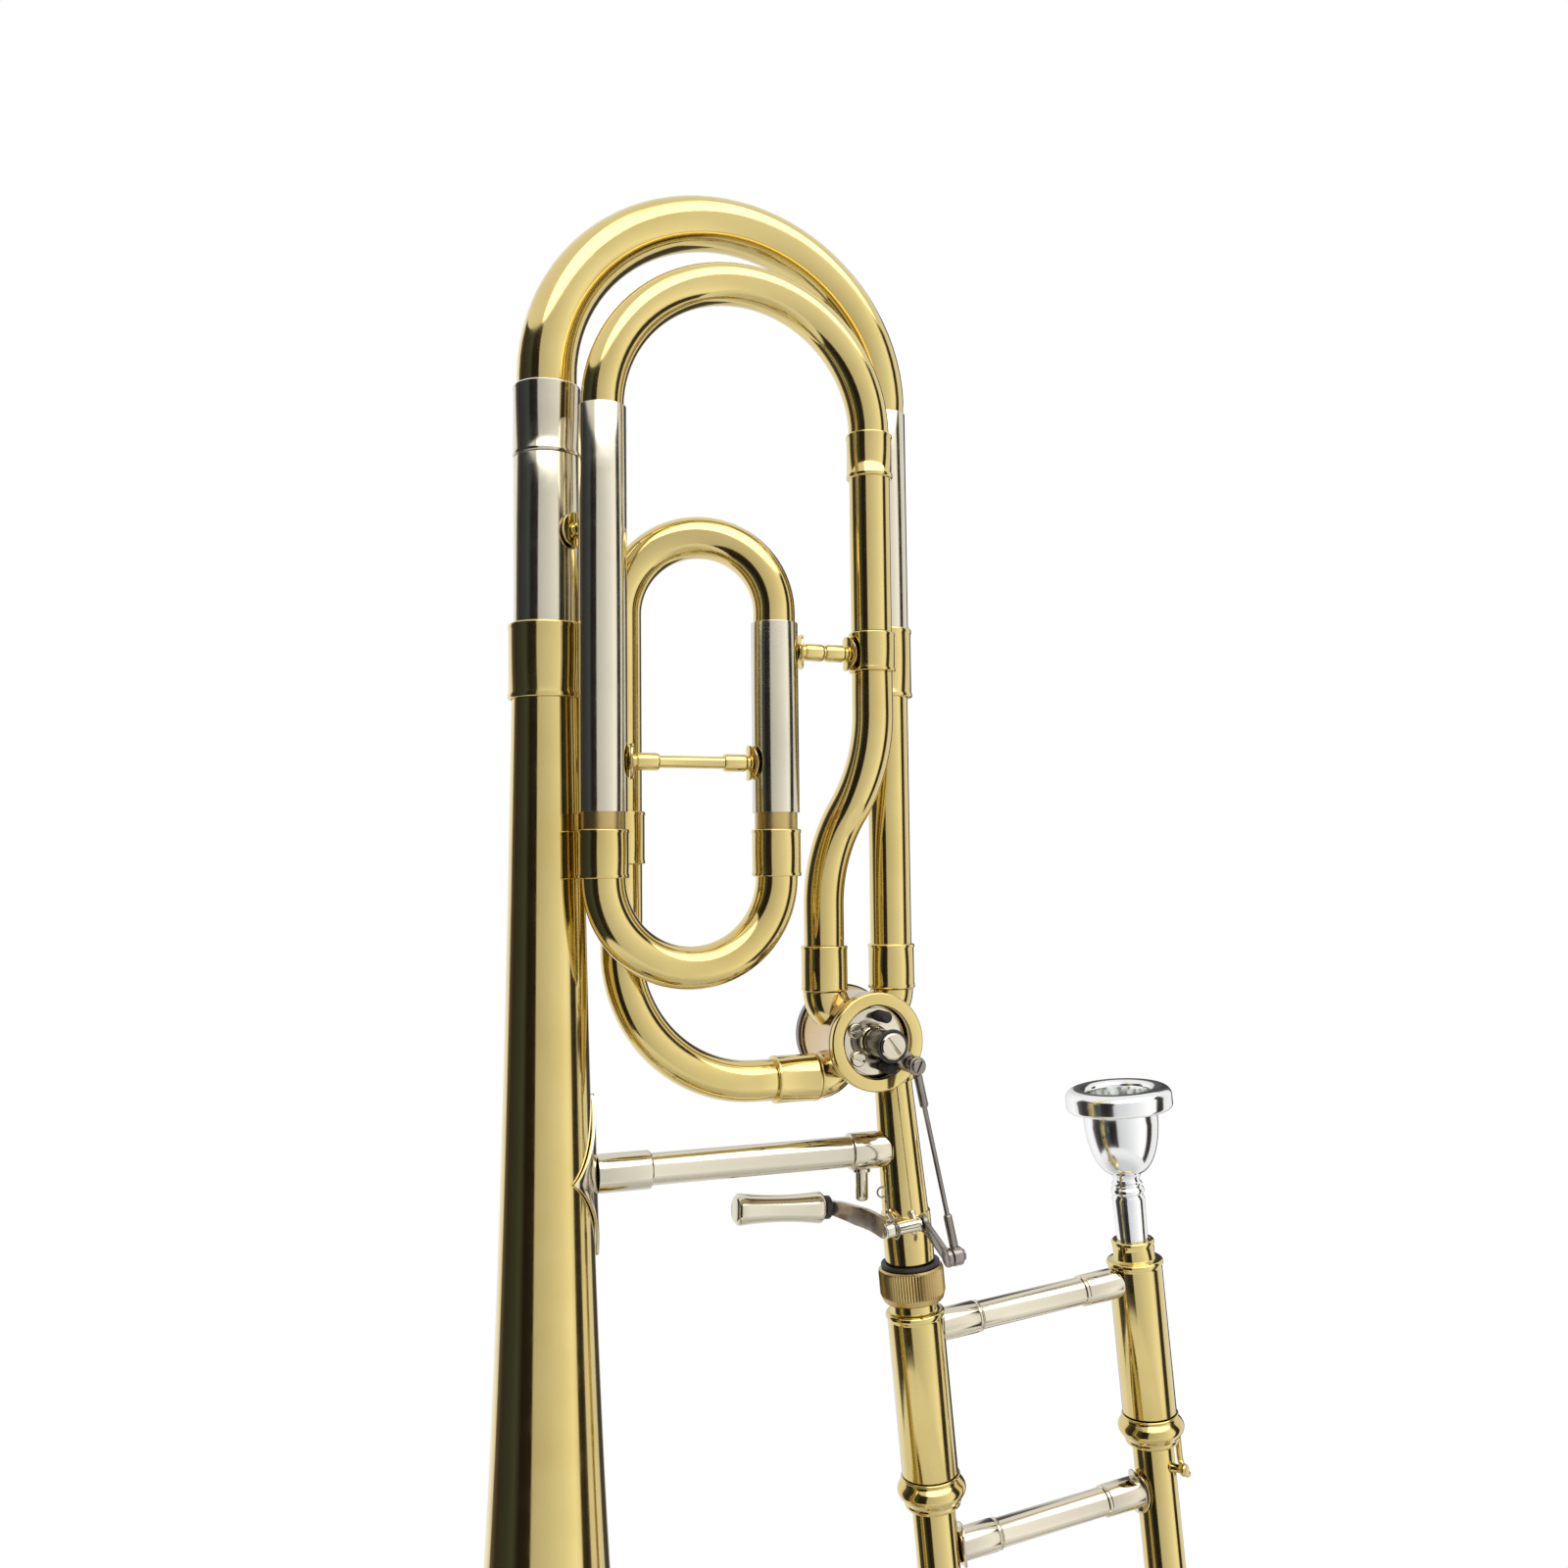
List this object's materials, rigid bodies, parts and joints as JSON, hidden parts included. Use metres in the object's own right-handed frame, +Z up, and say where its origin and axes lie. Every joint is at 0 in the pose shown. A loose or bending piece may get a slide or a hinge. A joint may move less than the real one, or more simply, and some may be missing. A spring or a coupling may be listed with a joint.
{
  "type": "tenor trombone",
  "caption": "Tenor trombone with a rotary valve and wrapped F attachment, bell down, with a hand slide, slide lock, thumb lever and silver mouthpiece.",
  "frame": {"origin": "centre of the bell's rim plane, on the bell axis", "axes": "+Z up the bell axis from the mouth to the bows, +X from the bell to the hand slide, -Y towards the valve's front and the F tuning slide"},
  "size_m": [0.422, 0.216, 1.2175],
  "materials": {
    "lacquered_brass": "clear-lacquered polish",
    "nickel_silver": "polished nickel silver",
    "steel": "dark plated steel",
    "silver_plate": "bright silver plate",
    "black_rubber": "matt black",
    "cork": "black bumper"
  },
  "bodies": {
    "bell_section": {"bell": "lacquered_brass", "bell_tail_ferrule": "lacquered_brass", "bell_side_outer_leg": "nickel_silver", "neck_side_tube": "lacquered_brass", "neck_side_outer_leg": "nickel_silver", "f_long_outer_leg": "nickel_silver", "f_short_outer_leg": "nickel_silver", "f_upper_bow": "lacquered_brass", "f_straight_tube": "lacquered_brass", "f_return_bow": "lacquered_brass", "f_quarter_bend": "lacquered_brass", "f_s_bend": "lacquered_brass", "f_slide_brace": "lacquered_brass", "f_side_brace": "lacquered_brass", "leg_brace": "lacquered_brass", "bell_flange": "nickel_silver", "bell_brace": "nickel_silver", "lever_stop_post": "nickel_silver", "valve_casing": "lacquered_brass", "valve_front_bearing": "nickel_silver", "valve_rear_bearing": "nickel_silver", "valve_front_ring": "lacquered_brass", "valve_rear_cap": "nickel_silver", "stop_cork_lower": "cork", "stop_cork_upper": "cork", "stop_plate": "nickel_silver", "neckpipe": "lacquered_brass", "receiver_ring": "black_rubber", "lever_saddle": "nickel_silver"},
    "main_tuning_slide": {"main_tuning_bow": "lacquered_brass", "main_tuning_ferrule": "nickel_silver", "bell_side_inner_leg": "nickel_silver", "neck_side_inner_leg": "nickel_silver"},
    "f_tuning_slide": {"f_slide_ferrule_long": "lacquered_brass", "f_inner_leg_long": "lacquered_brass", "f_slide_ferrule_short": "lacquered_brass", "f_inner_leg_short": "lacquered_brass", "f_tuning_bow": "lacquered_brass"},
    "valve_rotor": {"rotor": "lacquered_brass", "rotor_stop_arm": "steel", "rotor_screw": "steel"},
    "linkage": {"valve_link": "steel"},
    "thumb_lever_set": {"lever_axle": "steel", "thumb_lever": "nickel_silver", "thumb_grip": "nickel_silver", "lever_collar": "black_rubber"},
    "slide_section": {"slide_barrel_left": "lacquered_brass", "slide_barrel_right": "lacquered_brass", "inner_slide_brace": "nickel_silver", "inner_slide_tube_left": "silver_plate", "inner_slide_tube_right": "silver_plate"},
    "nut": {"lock_nut": "lacquered_brass"},
    "hand_slide": {"outer_slide_tube_left": "lacquered_brass", "outer_slide_tube_right": "lacquered_brass", "outer_slide_brace": "nickel_silver", "slide_crook": "lacquered_brass", "slide_bumper": "black_rubber"},
    "lock_ring": {"slide_lock": "lacquered_brass"},
    "key": {"water_key": "nickel_silver"},
    "mouthpiece_set": {"mouthpiece": "silver_plate"}
  },
  "joints": [
    {"name": "main_slide_pull", "type": "slide", "parent": "bell_section", "child": "main_tuning_slide", "axis": [0, 0, 1], "range_m": [0, 0.045]},
    {"name": "f_slide_pull", "type": "slide", "parent": "bell_section", "child": "f_tuning_slide", "axis": [0, 0, -1], "range_m": [-0.0057, 0.05]},
    {"name": "lever_press", "type": "hinge", "parent": "bell_section", "child": "thumb_lever_set", "pos_m": [0.13252, -0.014, 0.32454], "axis": [-0.9962, 0, -0.0872], "range_deg": [0, 47.9], "stiffness_Nm_per_rad": 0.04, "springref_deg": -34.38},
    {"name": "rotor_turn", "type": "hinge", "parent": "bell_section", "child": "valve_rotor", "pos_m": [0.12, 0, 0.394], "axis": [0, -1, 0], "range_deg": [0, 90]},
    {"name": "link_lift", "type": "slide", "parent": "bell_section", "child": "linkage", "axis": [-0.0872, 0, 0.9962], "range_m": [0, 0.0163]},
    {"name": "section_swivel", "type": "hinge", "parent": "bell_section", "child": "slide_section", "pos_m": [0.14067, 0, 0.30015], "axis": [-0.0872, 0, 0.9962], "range_deg": [-100, 100]},
    {"name": "nut_turn", "type": "hinge", "parent": "slide_section", "child": "nut", "pos_m": [0.14067, 0, 0.30015], "axis": [-0.0872, 0, 0.9962], "continuous": true},
    {"name": "hand_slide_travel", "type": "slide", "parent": "slide_section", "child": "hand_slide", "axis": [0.0872, 0, -0.9962], "range_m": [0, 0.6]},
    {"name": "lock_turn", "type": "hinge", "parent": "slide_section", "child": "lock_ring", "pos_m": [0.23358, 0, 0.38558], "axis": [-0.0872, 0, 0.9962], "range_deg": [-46, 0]},
    {"name": "key_press", "type": "hinge", "parent": "hand_slide", "child": "key", "pos_m": [0.21962, -0.0139, -0.46803], "axis": [-0.7071, 0, -0.7071], "range_deg": [0, 12], "stiffness_Nm_per_rad": 0.02, "springref_deg": -17.19},
    {"name": "mouthpiece_pull", "type": "slide", "parent": "slide_section", "child": "mouthpiece_set", "axis": [-0.0872, 0, 0.9962], "range_m": [0, 0.04]}
  ],
  "couplings": [
    {"joint": "rotor_turn", "follows": "lever_press", "ratio": 1.8757},
    {"joint": "link_lift", "follows": "lever_press", "m_per_rad": 0.019421}
  ]
}
